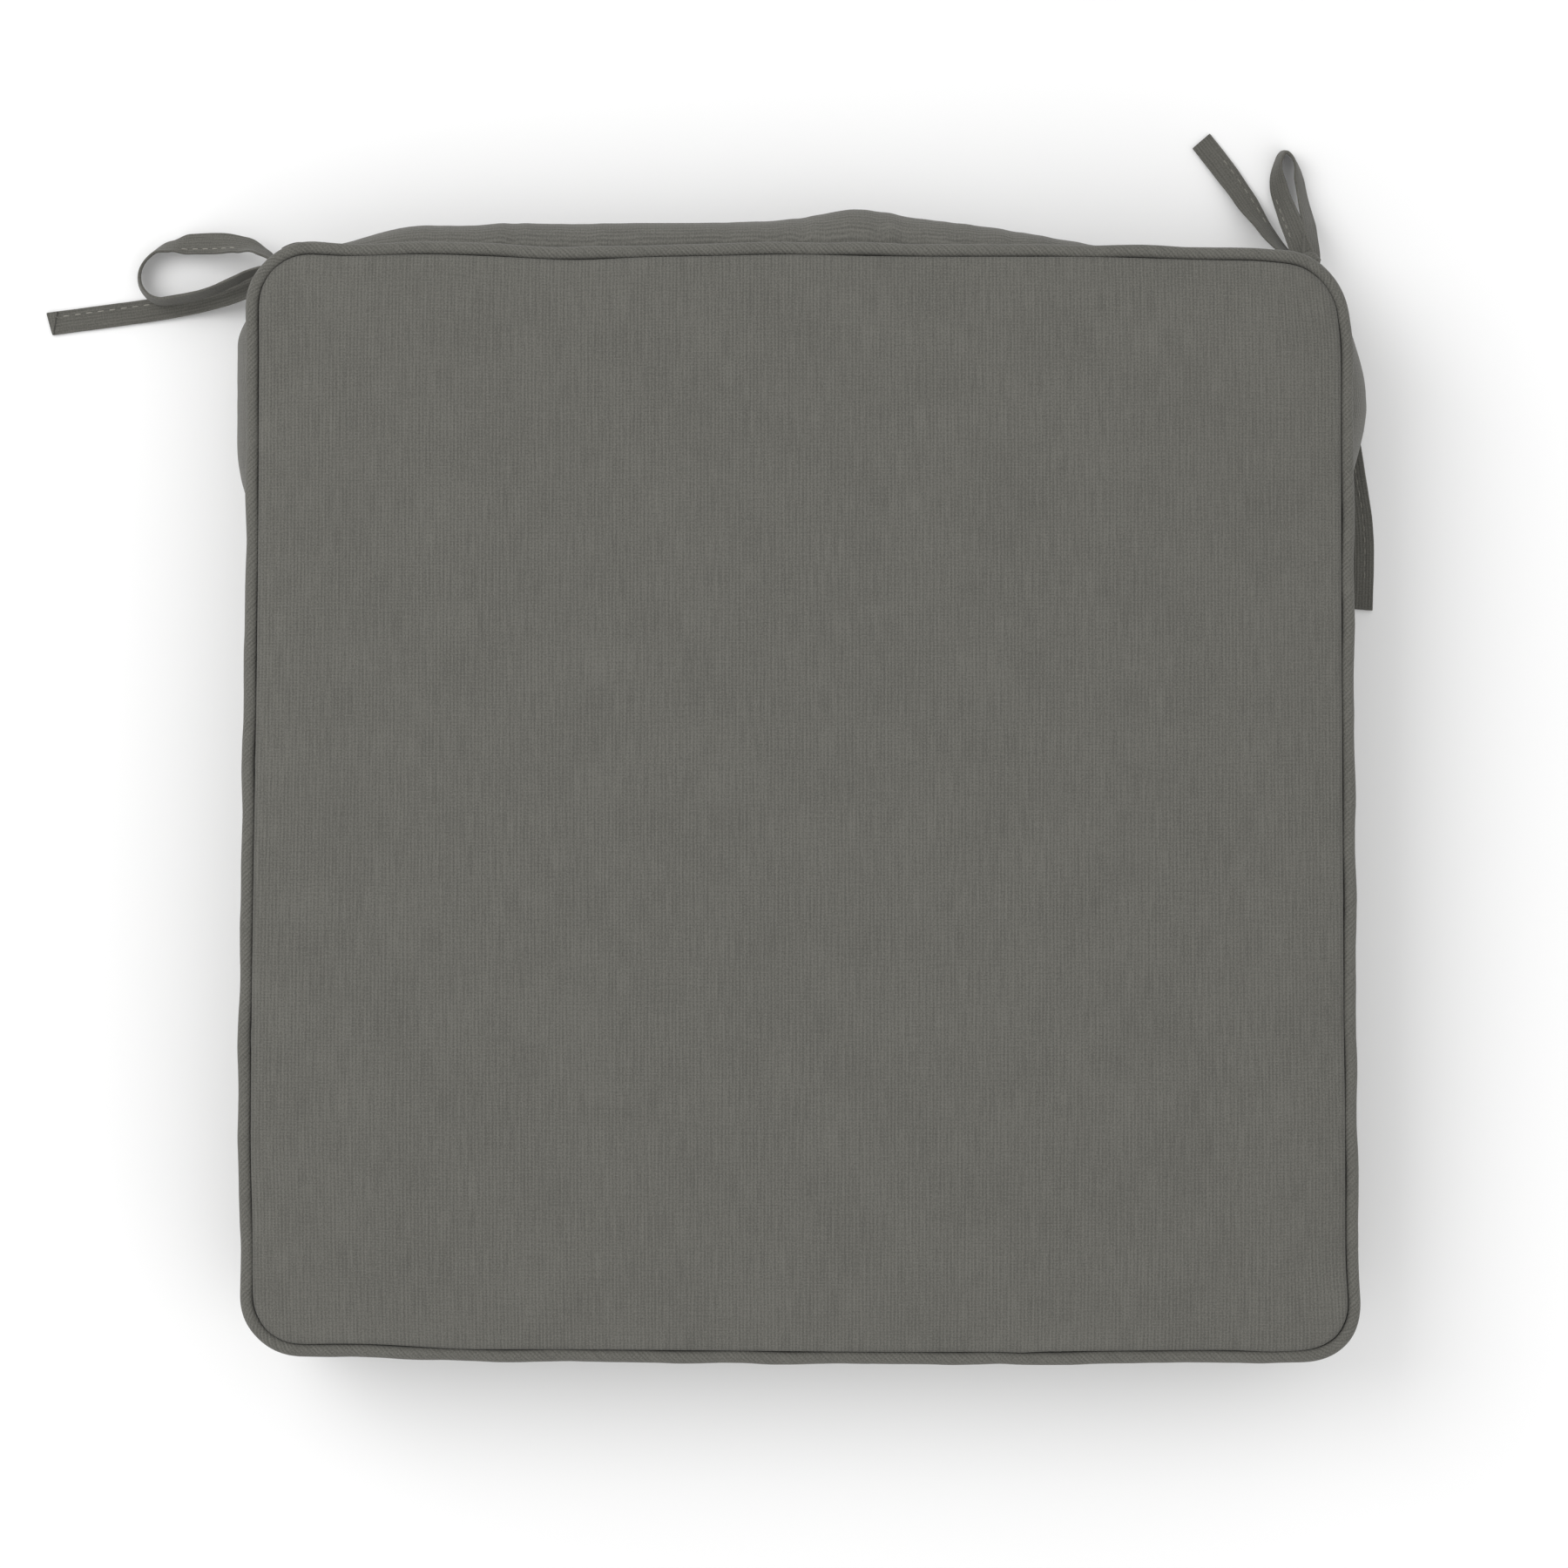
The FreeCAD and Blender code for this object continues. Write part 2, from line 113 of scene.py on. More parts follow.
def node(tree, kind, inputs=None, **settings):
    """Adds a shader node; inputs maps a socket to a value or to another node's output."""
    made = tree.nodes.new("ShaderNode" + kind)
    for name, value in settings.items():
        setattr(made, name, value)
    for name, value in (inputs or {}).items():
        if isinstance(value, bpy.types.NodeSocket):
            tree.links.new(value, made.inputs[name])
        else:
            made.inputs[name].default_value = value
    return made


def finish(name, roughness, metallic=0.0, sheen=0.0, specular=0.5, reads="Object"):
    """New material; returns it, its tree, its shader and the coordinates that its pattern reads."""
    material = bpy.data.materials.new(name)
    material.use_nodes = True
    tree = material.node_tree
    shader = tree.nodes["Principled BSDF"]
    shader.inputs["Roughness"].default_value = roughness
    shader.inputs["Metallic"].default_value = metallic
    shader.inputs["Sheen Weight"].default_value = sheen
    shader.inputs["Sheen Roughness"].default_value = 0.5
    shader.inputs["Specular IOR Level"].default_value = specular
    return material, tree, shader, node(tree, "TexCoord").outputs[reads]


def dress(tree, shader, pattern, low, high, relief=None, strength=0.0, depth=0.0):
    """Colours the surface from low to high by its pattern, and raises it by a relief, depth metres deep."""
    mixed = node(tree, "Mix", {"Factor": pattern, 6: (*low, 1.0), 7: (*high, 1.0)}, data_type="RGBA")
    tree.links.new(mixed.outputs[2], shader.inputs["Base Color"])
    if relief is not None:
        bump = node(tree, "Bump", {"Height": relief, "Strength": strength, "Distance": depth})
        tree.links.new(bump.outputs[0], shader.inputs["Normal"])


def shade(colour, share):
    """A colour made lighter or darker by a share."""
    return tuple(c * share for c in colour)


def canvas(name, colour, ribs):
    """Woven polyester canvas: fine raised warp ribs, uneven yarns and a dry, faintly hairy look.

    The ribs run along V. They are a little coarser than the real 0.8 mm yarns, so that they show.
    """
    material, tree, shader, place = finish(name, 0.92, sheen=0.12, specular=0.25, reads="UV")
    warp = node(tree, "TexWave", {"Vector": place, "Scale": 0.314 / ribs, "Distortion": 0.9,
                                  "Detail": 1.0, "Detail Scale": 0.35}).outputs["Fac"]
    weft = node(tree, "TexWave", {"Vector": place, "Scale": 0.314 / (0.8 * ribs), "Distortion": 0.7,
                                  "Detail": 1.0, "Detail Scale": 0.35},
                bands_direction="Y").outputs["Fac"]
    stretched = node(tree, "Mapping", {"Vector": place, "Scale": (900, 55, 1)}).outputs[0]
    yarns = node(tree, "TexNoise", {"Vector": stretched, "Scale": 1.0, "Detail": 2.0}).outputs["Fac"]
    crossed = node(tree, "Mapping", {"Vector": place, "Scale": (70, 800, 1)}).outputs[0]
    picks = node(tree, "TexNoise", {"Vector": crossed, "Scale": 1.0, "Detail": 1.0}).outputs["Fac"]
    mottle = node(tree, "TexNoise", {"Vector": place, "Scale": 26.0, "Detail": 3.0}).outputs["Fac"]
    fuzz = node(tree, "TexNoise", {"Vector": place, "Scale": 1500.0, "Detail": 2.0}).outputs["Fac"]
    relief, tone = 0.0, 0.0
    for part, weight in ((warp, 0.74), (weft, 0.26)):
        relief = node(tree, "Math", {0: part, 1: weight, 2: relief}, operation="MULTIPLY_ADD").outputs[0]
    for part, weight in ((yarns, 1.0), (picks, 0.35), (fuzz, 2.4), (mottle, 0.45), (relief, 0.6)):
        tone = node(tree, "Math", {0: part, 1: weight, 2: tone}, operation="MULTIPLY_ADD").outputs[0]
    level = node(tree, "MapRange", {"Value": tone, "From Min": 1.91, "From Max": 2.89,
                                    "To Min": 0.0, "To Max": 1.0}).outputs[0]
    dress(tree, shader, level, shade(colour, 0.74), shade(colour, 1.26), relief, 0.55, 0.00022)
    return material


def thread(name, colour):
    """Spun polyester sewing thread: matt, with a fine twist across each stitch."""
    material, tree, shader, place = finish(name, 0.75, sheen=0.2, specular=0.3)
    twist = node(tree, "TexNoise", {"Vector": place, "Scale": 2600.0, "Detail": 1.0}).outputs["Fac"]
    dress(tree, shader, twist, shade(colour, 0.8), shade(colour, 1.15))
    return material


def cotton_cord(name):
    """Laid cotton filler cord: off-white strands in a slant round it."""
    material, tree, shader, place = finish(name, 0.9, sheen=0.2, specular=0.2, reads="UV")
    strands = node(tree, "TexWave", {"Vector": place, "Scale": 0.314 / 0.004, "Distortion": 1.0},
                   bands_direction="DIAGONAL").outputs["Fac"]
    dress(tree, shader, strands, linear("C9C3B4"), linear("EDE8DC"), strands, 0.6, 0.0005)
    return material


def cellular(name, low, high, pore, depth):
    """Open soft filling: pale, matt, pitted at the size of its cells or tufts."""
    material, tree, shader, place = finish(name, 0.95, sheen=0.1, specular=0.2)
    cells = node(tree, "TexVoronoi", {"Vector": place, "Scale": 1.0 / pore}).outputs["Distance"]
    dress(tree, shader, cells, linear(low), linear(high), cells, 0.5, depth)
    return material


def woven_tape(name, colour):
    """Polyester zip tape: a close herringbone weave, smoother than the cover."""
    material, tree, shader, place = finish(name, 0.8, sheen=0.15, specular=0.3, reads="UV")
    twill = node(tree, "TexWave", {"Vector": place, "Scale": 0.314 / 0.0012, "Distortion": 0.3},
                 bands_direction="DIAGONAL").outputs["Fac"]
    dress(tree, shader, twill, shade(colour, 0.78), shade(colour, 1.15), twill, 0.4, 0.0001)
    return material


def nylon(name, colour):
    """Dyed nylon coil: extruded, slightly waxy."""
    material, tree, shader, place = finish(name, 0.38)
    drift = node(tree, "TexNoise", {"Vector": place, "Scale": 120.0, "Detail": 2.0}).outputs["Fac"]
    dress(tree, shader, drift, shade(colour, 0.85), shade(colour, 1.15))
    return material


def plated_zinc(name):
    """Die-cast zinc in a dark nickel plate: satin, with fine rub marks where fingers hold it."""
    material, tree, shader, place = finish(name, 0.34, metallic=1.0)
    rubbed = node(tree, "TexNoise", {"Vector": place, "Scale": 900.0, "Detail": 4.0,
                                     "Roughness": 0.7}).outputs["Fac"]
    dress(tree, shader, rubbed, linear("5F5E5C"), linear("9B9995"))
    rough = node(tree, "MapRange", {"Value": rubbed, "To Min": 0.24, "To Max": 0.5}).outputs[0]
    tree.links.new(rough, shader.inputs["Roughness"])
    return material


def pale_floor(name):
    """Matt white studio board."""
    material, tree, shader, place = finish(name, 0.9, specular=0.1)
    faint = node(tree, "TexNoise", {"Vector": place, "Scale": 3.0, "Detail": 1.0}).outputs["Fac"]
    dress(tree, shader, faint, linear("F3F3F3"), linear("F6F6F6"))
    return material


def shared(name, make, *facts):
    """The material of that name, made the first time it is asked for."""
    return bpy.data.materials.get(name) or make(name, *facts)


# ---- meshes ----

def grid(points, uv, around=False, along=False, caps=False):
    """Quads over rows of points, and the UV of each of their corners.

    A quad's outside is on the side of (step across a row) x (step to the next row). Rows close on
    themselves if around is set, the last row meets the first if along is set, and caps shuts the
    first and last rings. Where a direction closes, uv has one more entry that way.
    """
    rows, cols = points.shape[:2]
    r, c = np.meshgrid(np.arange(rows if along else rows - 1),
                       np.arange(cols if around else cols - 1), indexing="ij")
    corners = ((r, c), (r, c + 1), (r + 1, c + 1), (r + 1, c))
    faces = np.stack([(a % rows) * cols + b % cols for a, b in corners], -1).reshape(-1, 4).tolist()
    maps = np.stack([uv[a, b] for a, b in corners], -2).reshape(-1, 2)
    if caps:
        first = np.arange(cols)[::-1]
        last = np.arange(cols)
        faces += [first.tolist(), (last + (rows - 1) * cols).tolist()]
        maps = np.concatenate([maps, uv[0, first], uv[-1, last]])
    return points.reshape(-1, 3), faces, maps


def join(parts):
    """Several (points, faces, uv) as one."""
    points, faces, maps, start = [], [], [], 0
    for part in parts:
        points.append(part[0])
        faces += [[i + start for i in face] for face in part[1]]
        maps.append(part[2])
        start += len(part[0])
    return np.concatenate(points), faces, np.concatenate(maps)


def build(name, shape, material, body, stands_for=(), cloth=0.0, smooth=1):
    """A piece from (points, faces, uv) in millimetres, riding on a body of the frame."""
    points, faces, maps = shape
    mesh = bpy.data.meshes.new(name)
    mesh.from_pydata((points * MM).tolist(), [], faces)
    layer = mesh.uv_layers.new(name="weave")
    layer.data.foreach_set("uv", (maps * MM).astype(np.float32).ravel())
    mesh.polygons.foreach_set("use_smooth", np.ones(len(faces), bool))
    mesh.validate()
    mesh.materials.append(material)
    piece = bpy.data.objects.new(name, mesh)
    bpy.context.scene.collection.objects.link(piece)
    if cloth:
        wall = piece.modifiers.new("cloth", "SOLIDIFY")
        wall.thickness = cloth * MM
        wall.offset = -1.0
    if smooth:
        rounder = piece.modifiers.new("rounder", "SUBSURF")
        rounder.levels = smooth
        rounder.render_levels = smooth
    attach(piece, body)
    if stands_for:
        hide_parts(*stands_for)
    return piece


# ---- shared arithmetic ----

def ease(t):
    """0 below 0, 1 above 1 and an even S-curve between."""
    t = np.clip(t, 0.0, 1.0)
    return t * t * (3 - 2 * t)


def bell(x, centre, width):
    """1 at the centre, falling away over the width."""
    return np.exp(-((x - centre) / width) ** 2)


def unit(rows):
    """Each row at length 1."""
    return rows / np.linalg.norm(rows, axis=1)[:, None]


def sampled(at, run, *fields):
    """Each field's rows, read between points at the given runs along a line."""
    return [np.stack([np.interp(at, run, field[:, k]) for k in range(3)], -1) for field in fields]


# ---- the pad's outline ----

def outline(s, half):
    """Place and outward normal, s mm round from the middle of the right side, anticlockwise.

    Four straight sides and four quarter arcs about the corners' centres.
    """
    s = np.asarray(s, float) % (4 * QUARTER)
    turn = np.floor(s / QUARTER)
    local = s - turn * QUARTER
    radius = half - CORNER
    angle = np.clip((local - CORNER) / ARC, 0, 1) * math.pi / 2
    x = np.where(local < CORNER, half, CORNER + radius * np.cos(angle))
    y = np.where(local < CORNER, local, CORNER + radius * np.sin(angle))
    past = local > CORNER + ARC
    x = np.where(past, QUARTER - local, x)
    y = np.where(past, half, y)
    cos, sin = np.cos(turn * math.pi / 2), np.sin(turn * math.pi / 2)
    nx, ny = np.cos(angle), np.sin(angle)
    return np.stack([x * cos - y * sin, x * sin + y * cos, nx * cos - ny * sin, nx * sin + ny * cos])


def settle(x, y, share=1.0):
    """Moves a place of the ideal square to where the stuffed, hand-sewn pad has it.

    Each side has its own lean and waves, which fade away within 110 mm of the edge, and each
    corner is a little fuller or rounder than the ideal one.
    """
    left = 1.0 - 2.2 * np.tanh(y / 130) - 1.0 * ease((-y - 150) / 50)
    right = 0.1 - 0.9 * np.tanh(y / 150) + 0.5 * ease((-y - 90) / 60)
    front = (1.1 + 1.3 * bell(x, 60, 110) - 2.5 * ease((-x - 145) / 60) - 1.0 * ease((x - 205) / 25)
             + 1.0 * bell(x, 216, 14) + 0.5 * bell(x, 101, 7))
    rear = (2.0 + 1.1 * bell(x, -172, 28) - 1.5 * bell(x, -103, 25) + 1.0 * bell(x, -5, 34)
            - 1.8 * ease((x - 120) / 90) + 0.9 * bell(x, -226, 12))
    near = [ease((side - 140) / 108) for side in (-x, x, -y, y)]
    dx = near[1] * right - near[0] * left
    dy = near[3] * rear - near[2] * front
    for sx, sy, ox, oy in CORNER_SHIFTS:
        here = ease((sx * x - 203) / 42) * ease((sy * y - 203) / 42)
        dx = dx + here * sx * ox
        dy = dy + here * sy * oy
    return x + share * dx, y + share * dy


def ripple(s, counts):
    """Uneven waves round the outline: sines of whole counts, each (count, height, phase)."""
    turn = 2 * math.pi * s / (4 * QUARTER)
    return sum(height * np.sin(count * turn + phase) for count, height, phase in counts)


PUCKERS = ((163, 0.45, 0.3), (118, 0.6, 1.9), (221, 0.35, 4.1), (87, 0.4, 2.6))
DRIFT = ((5, 0.5, 0.4), (9, 0.4, 2.2), (14, 0.35, 5.0))


# ---- the cover ----

def panel_plan(count, crowding):
    """Plan grid of a panel: scaled copies of the outline, closer together near the seam.

    Returns x, y, the place round the outline and the distance in from the seam, each count by
    count. A grid point's ring is its larger coordinate, and the other one sets its place on it.
    """
    g = np.linspace(-1, 1, count)
    v, u = np.meshgrid(g, g, indexing="ij")
    ring = np.maximum(np.maximum(abs(u), abs(v)), 1e-9)
    reach = (CORNER + ARC / 2)
    s = np.where((abs(u) >= abs(v)) & (u > 0), v / ring * reach, 0)
    s = np.where((abs(v) > abs(u)) & (v > 0), QUARTER - u / ring * reach, s)
    s = np.where((abs(u) >= abs(v)) & (u < 0), 2 * QUARTER - v / ring * reach, s)
    s = np.where((abs(v) > abs(u)) & (v < 0), 3 * QUARTER + u / ring * reach, s)
    scale = ring * (1 - crowding) + crowding * (1 - (1 - ring) ** 2)
    x, y, _, _ = outline(s, SEAM_LINE)
    return x * scale, y * scale, s, (1 - scale) * SEAM_LINE


def top_panel_shape():
    """Crowned lid: a quick roll up out of the seam, then a low crown with puckers by the seam."""
    x, y, s, inward = panel_plan(LID_COUNT, PANEL_CROWDING)
    roll = np.sqrt(1 - (1 - np.clip(inward / 9.0, 0, 1)) ** 2)
    crown = (1 - abs(x / 249) ** 2.6) * (1 - abs(y / 249) ** 2.6)
    gathered = (0.25 + 1.0 * bell(x, -158, 34) * ease((y - 150) / 60)
                + 0.9 * bell(x, -10, 20) * ease((y - 150) / 60)
                + 0.5 * ease((abs(x) - 190) / 30) * ease((abs(y) - 190) / 30))
    pucker = 0.6 * gathered * ripple(s, PUCKERS) * np.exp(-inward / 11) * ease(inward / 4)
    soft = 0.35 * np.sin(x / 61 + 0.7) * np.cos(y / 74 - 0.4) + 0.2 * np.sin((x + y) / 33 + 1.1)
    z = 72.1 + 3.1 * roll ** 0.9 + 3.3 * crown + pucker + soft * ease(inward / 30)
    px, py = settle(x, y)
    return grid(np.stack([px, py, z], -1), np.stack([x, y], -1))


def draped(shape, held, cap):
    """The shape after a cloth simulation under the filling's pressure, with the seam pinned.

    held is each point's pin weight. The cloth is cut a little full, and no point ends up further
    than cap from where it started.
    """
    points, faces, maps = shape
    mesh = bpy.data.meshes.new("draping")
    mesh.from_pydata((points * MM).tolist(), [], faces)
    piece = bpy.data.objects.new("draping", mesh)
    scene = bpy.context.scene
    scene.collection.objects.link(piece)
    seam = piece.vertex_groups.new(name="seam")
    for weight in (0.2, 0.4, 0.6, 0.8, 1.0):
        seam.add(np.flatnonzero(abs(held - weight) < 0.1).tolist(), weight, "REPLACE")
    drape = piece.modifiers.new("drape", "CLOTH")
    fabric = drape.settings
    fabric.quality = 5
    fabric.mass = 0.3
    fabric.tension_stiffness = fabric.compression_stiffness = 40
    fabric.shear_stiffness = 13
    fabric.bending_stiffness = 0.5
    fabric.shrink_min = -0.002
    fabric.vertex_group_mass = "seam"
    fabric.use_pressure = True
    fabric.uniform_pressure_force = 4.0
    fabric.effector_weights.gravity = 0.0
    drape.collision_settings.use_collision = False
    drape.point_cache.frame_start, drape.point_cache.frame_end = 1, 20
    for step in range(1, 21):
        scene.frame_set(step)
    moved = np.empty(points.size)
    settled = piece.evaluated_get(bpy.context.evaluated_depsgraph_get())
    settled.data.vertices.foreach_get("co", moved)
    shift = moved.reshape(-1, 3) / MM - points
    scene.frame_set(1)
    bpy.data.objects.remove(piece)
    bpy.data.meshes.remove(mesh)
    return points + cap * np.tanh(shift / cap), faces, maps


def bottom_panel_shape():
    """Flat underside that rolls up to the lower seam; its columns run the other way, to face down."""
    x, y, _, inward = panel_plan(121, PANEL_CROWDING)
    z = 3.6 * (1 - np.sqrt(1 - (1 - np.clip(inward / 5.0, 0, 1)) ** 2)) + 0.35
    px, py = settle(x, y, 0.6)
    points = np.stack([px, py, z], -1)[:, ::-1]
    return grid(points, np.stack([x, y], -1)[:, ::-1])


def stand_out(x, y, nx, ny):
    """How far the boxing swells past its seams at mid height, in millimetres.

    Each side is a small even swell plus ramps and bells where its cloth is slack. Round a corner
    the sides blend by the squares of the outward direction's parts.
    """
    rear = (3.2 + 15.6 * ease((x + 246) / 84) * (1 - ease((x - 50) / 135)) + 5.0 * bell(x, 27, 22)
            - 2.6 * bell(x, -160, 20) + 1.2 * bell(x, -98, 30))
    left = 3.6 - 2.6 * ease((y - 212) / 20) + 9.8 * ease((y - 115) / 50) * (1 - ease((y - 212) / 30))
    right = 3.4 + 12.2 * bell(y, 185, 38)
    front = 3.6 + 0.6 * bell(x, 80, 120)
    sides = [np.clip(n, 0, 1) ** 2 for n in (ny, -ny, nx, -nx)]
    return sides[0] * rear + sides[1] * front + sides[2] * right + sides[3] * left


def boxing_shape(start, stop, columns, low, high, full_low, full_high, rows, slack=0.0, hems=(0, 0)):
    """Strip of boxing from start to stop round the outline, between two heights.

    It leaves full_low and full_high at the seams' line and swells between them as an arc, or only
    as far as its hems say where it ends at the zip. slack adds lengthwise folds, and puckers fade
    away from the welts.
    """
    s, v = np.meshgrid(np.linspace(start, stop, columns), np.linspace(0, 1, rows))
    z = low + (high - low) * v
    lift = (z - full_low) / (full_high - full_low)
    x, y, nx, ny = outline(s, BOX_LINE)
    belly = np.clip(1 - (2 * lift - 1) ** 2, 0, 1) ** 0.72
    swell = stand_out(x, y, nx, ny) if not hems[1] else 0.6
    out = swell * belly + hems[0] * (1 - v) + hems[1] * v
    near = np.exp(-np.minimum(z - LOW_WELT_Z, HIGH_WELT_Z - z) / 10)
    out = out + 1.1 * near * ripple(s, PUCKERS) * (0.6 + ripple(s, DRIFT)) * ease(belly * 3)
    out = out + slack * belly * (0.8 * np.sin(z / 5.2 + s / 41 + 0.6) * bell(s, QUARTER - 10, 130)
                                 + 0.7 * np.sin(s / 23 + z / 14) * bell(s, QUARTER + 100, 80))
    out = out + 0.5 * belly * ripple(s, DRIFT) * (0 if hems[1] else 1)
    ends = np.minimum(s - start, stop - s)
    out = out - 0.9 * np.exp(-ends / 2.0)
    px, py = settle(x, y, 0.1 + 0.9 * ease((z - 22) / 44))
    points = np.stack([px + nx * out, py + ny * out, z], -1)
    return grid(points, np.stack([z + 0 * s, s], -1))


def tube(centre, side, up, radius, count, uv_turn=0.0, closed=True):
    """Round tube along rows of centres; UV runs along it and round it, turned for a bias cut."""
    angle = np.linspace(0, 2 * math.pi, count, endpoint=False)
    ring = (centre[:, None] + radius[:, None, None]
            * (np.cos(angle)[None, :, None] * side[:, None] + np.sin(angle)[None, :, None] * up[:, None]))
    step = np.linalg.norm(np.diff(centre, axis=0, append=centre[:1]), axis=1)
    along = np.concatenate([[0], np.cumsum(step)])
    if not closed:
        along = along[:-1]
    about = np.linspace(0, 2 * math.pi, count + 1) * radius.mean()
    a, b = np.meshgrid(along, about, indexing="ij")
    cos, sin = math.cos(uv_turn), math.sin(uv_turn)
    uv = np.stack([b * cos + a * sin, a * cos - b * sin], -1)
    return grid(ring, uv, around=True, along=closed, caps=not closed)


def welt_line(z, share, columns, swell):
    """Middle line of a piping, settled and slightly wavy, with its outward and upward sides."""
    s = np.linspace(0, 4 * QUARTER, columns, endpoint=False)
    x, y, nx, ny = outline(s, WELT_LINE)
    x, y = settle(x, y, share)
    wander = 0.22 * ripple(s, ((31, 1.0, 0.2), (47, 0.8, 1.3), (12, 0.9, 3.0)))
    lift = 0.2 * ripple(s, ((23, 1.0, 2.0), (38, 0.7, 0.9)))
    centre = np.stack([x + nx * wander, y + ny * wander, z + lift], -1)
    side = np.stack([nx, ny, 0 * nx], -1)
    up = np.broadcast_to([0.0, 0.0, 1.0], side.shape)
    radius = WELT_R * (1 + swell * ripple(s, ((61, 0.5, 0.0), (97, 0.5, 1.0), (140, 0.4, 2.0))))
    gap = (s - (QUARTER + 0.5) + 2 * QUARTER) % (4 * QUARTER) - 2 * QUARTER
    joint = swell * (2.2 * bell(gap, 0, 9) - 5.0 * bell(gap, 0.8, 1.3))
    return centre, side, up, radius * (1 + joint)


# ---- the filling ----

def block_shape(half, low, high, bevel, crown):
    """Closed pad: an upper and a lower grid with rounded edges, joined by a side wall."""
    count = 61
    x, y, _, inward = panel_plan(count, 0.5)
    k = half / SEAM_LINE
    x, y, inward = x * k, y * k, inward * k
    round_off = bevel * (1 - np.sqrt(1 - (1 - np.clip(inward / bevel, 0, 1)) ** 2))
    dome = crown * (1 - abs(x / half) ** 2.6) * (1 - abs(y / half) ** 2.6)
    px, py = settle(x, y, 0.8)
    upper = np.stack([px, py, high - round_off + dome], -1)
    lower = np.stack([px, py, low + round_off], -1)
    flat = np.stack([x, y], -1)
    top = grid(upper, flat)
    base = grid(lower[:, ::-1], flat[:, ::-1])
    rim = np.concatenate([np.arange(count - 1) + 0j, np.arange(count - 1) * 1j + count - 1])
    rim = np.concatenate([rim, (count - 1) * (1 + 1j) - rim])
    column, row = rim.real.astype(int), rim.imag.astype(int)
    wall = np.stack([lower[row, column], upper[row, column]])
    spread = np.arange(len(rim) + 1) * (8 * half / len(rim))
    uv = np.stack(np.broadcast_arrays(np.array([[0.0], [high - low]]), spread[None]), -1)
    side = grid(wall, uv, around=True)
    return join([top, base, side])


def weld(piece):
    """Merges the rows that meet, so that the form is closed."""
    shell = bmesh.new()
    shell.from_mesh(piece.data)
    bmesh.ops.remove_doubles(shell, verts=shell.verts, dist=1e-5)
    bmesh.ops.recalc_face_normals(shell, faces=shell.faces)
    shell.to_mesh(piece.data)
    shell.free()


# ---- tapes and stitches ----

def smooth_line(name, route):
    """Points along the smooth curve that the route's points pull into shape, in millimetres."""
    curve = bpy.data.curves.new(name + "_line", "CURVE")
    curve.dimensions = "3D"
    curve.resolution_u = 26
    spline = curve.splines.new("NURBS")
    spline.points.add(len(route) - 1)
    for point, place in zip(spline.points, route):
        point.co = (*place, 1.0)
    spline.order_u = 3
    spline.use_endpoint_u = True
    holder = bpy.data.objects.new(name + "_line", curve)
    bpy.context.scene.collection.objects.link(holder)
    mesh = bpy.data.meshes.new_from_object(holder)
    line = np.array([v.co for v in mesh.vertices], float)
    bpy.data.objects.remove(holder)
    bpy.data.meshes.remove(mesh)
    bpy.data.curves.remove(curve)
    keep = np.concatenate([[True], np.linalg.norm(np.diff(line, axis=0), axis=1) > 1e-4])
    return line[keep]


def tape_frames(line, turns):
    """Along, across and face directions of a tape; turns are (share of its length, degrees).

    0 degrees lies flat, 90 stands on its edge. Across starts level, square to the line.
    """
    along = unit(np.gradient(line, axis=0))
    level = unit(np.stack([-along[:, 1], along[:, 0], 0 * along[:, 0]], -1))
    rise = np.cross(along, level)
    step = np.linalg.norm(np.diff(line, axis=0), axis=1)
    share = np.concatenate([[0], np.cumsum(step)]) / step.sum()
    keys = np.array(turns, float)
    place = np.clip(np.searchsorted(keys[:, 0], share, side="right") - 1, 0, len(keys) - 2)
    blend = ease((share - keys[place, 0]) / (keys[place + 1, 0] - keys[place, 0]))
    angle = np.radians(keys[place, 1] + blend * (keys[place + 1, 1] - keys[place, 1]))[:, None]
    across = np.cos(angle) * level + np.sin(angle) * rise
    face = np.cross(along, across)
    return along, across, face, share * step.sum()


def tape_profile(width, thick, stitch):
    """Closed section of a folded and stitched tape: two plump folds, drawn in at the stitches."""
    a = np.cos(np.linspace(0, 2 * math.pi, 26, endpoint=False))
    b = np.sin(np.linspace(0, 2 * math.pi, 26, endpoint=False))
    across = np.sign(a) * abs(a) ** 0.55 * width / 2
    pinch = 1 - 0.42 * bell(across, stitch, 0.9)
    return across, np.sign(b) * abs(b) ** 0.4 * thick / 2 * pinch


def tape_shape(line, turns, stitch, width, thick, end_slant=0.0):
    """Folded tape: its section carried along a line, with soft dents and small edge waves.

    Extra rings beside the ends keep the cut ends square.
    """
    along, across, face, run = tape_frames(line, turns)
    a, b = tape_profile(width, thick, stitch)
    wave = 0.3 * np.sin(run / 4.3) + 0.25 * np.sin(run / 2.1 + 1.0)
    dent = 1 + 0.1 * np.sin(run / 3.1 + 0.5)
    slant = end_slant * ease(1 - (run[-1] - run) / 6.0)
    ring = (line[:, None] + a[None, :, None] * across[:, None] * (1 + 0.015 * wave[:, None, None])
            + (b[None, :] * dent[:, None])[..., None] * face[:, None]
            + (slant[:, None] * a[None, :] / width)[..., None] * along[:, None])
    ends = (0.94 * ring[:1] + 0.06 * ring[1:2], 0.06 * ring[-2:-1] + 0.94 * ring[-1:])
    ring = np.concatenate([ring[:1], ends[0], ring[1:-1], ends[1], ring[-1:]])
    run = np.concatenate([run[:1], run[:1], run[1:-1], run[-1:], run[-1:]])
    around = np.concatenate([a, a[:1]])
    run, place = np.meshgrid(run, around, indexing="ij")
    return grid(ring, np.stack([place, run], -1), around=True, caps=True)


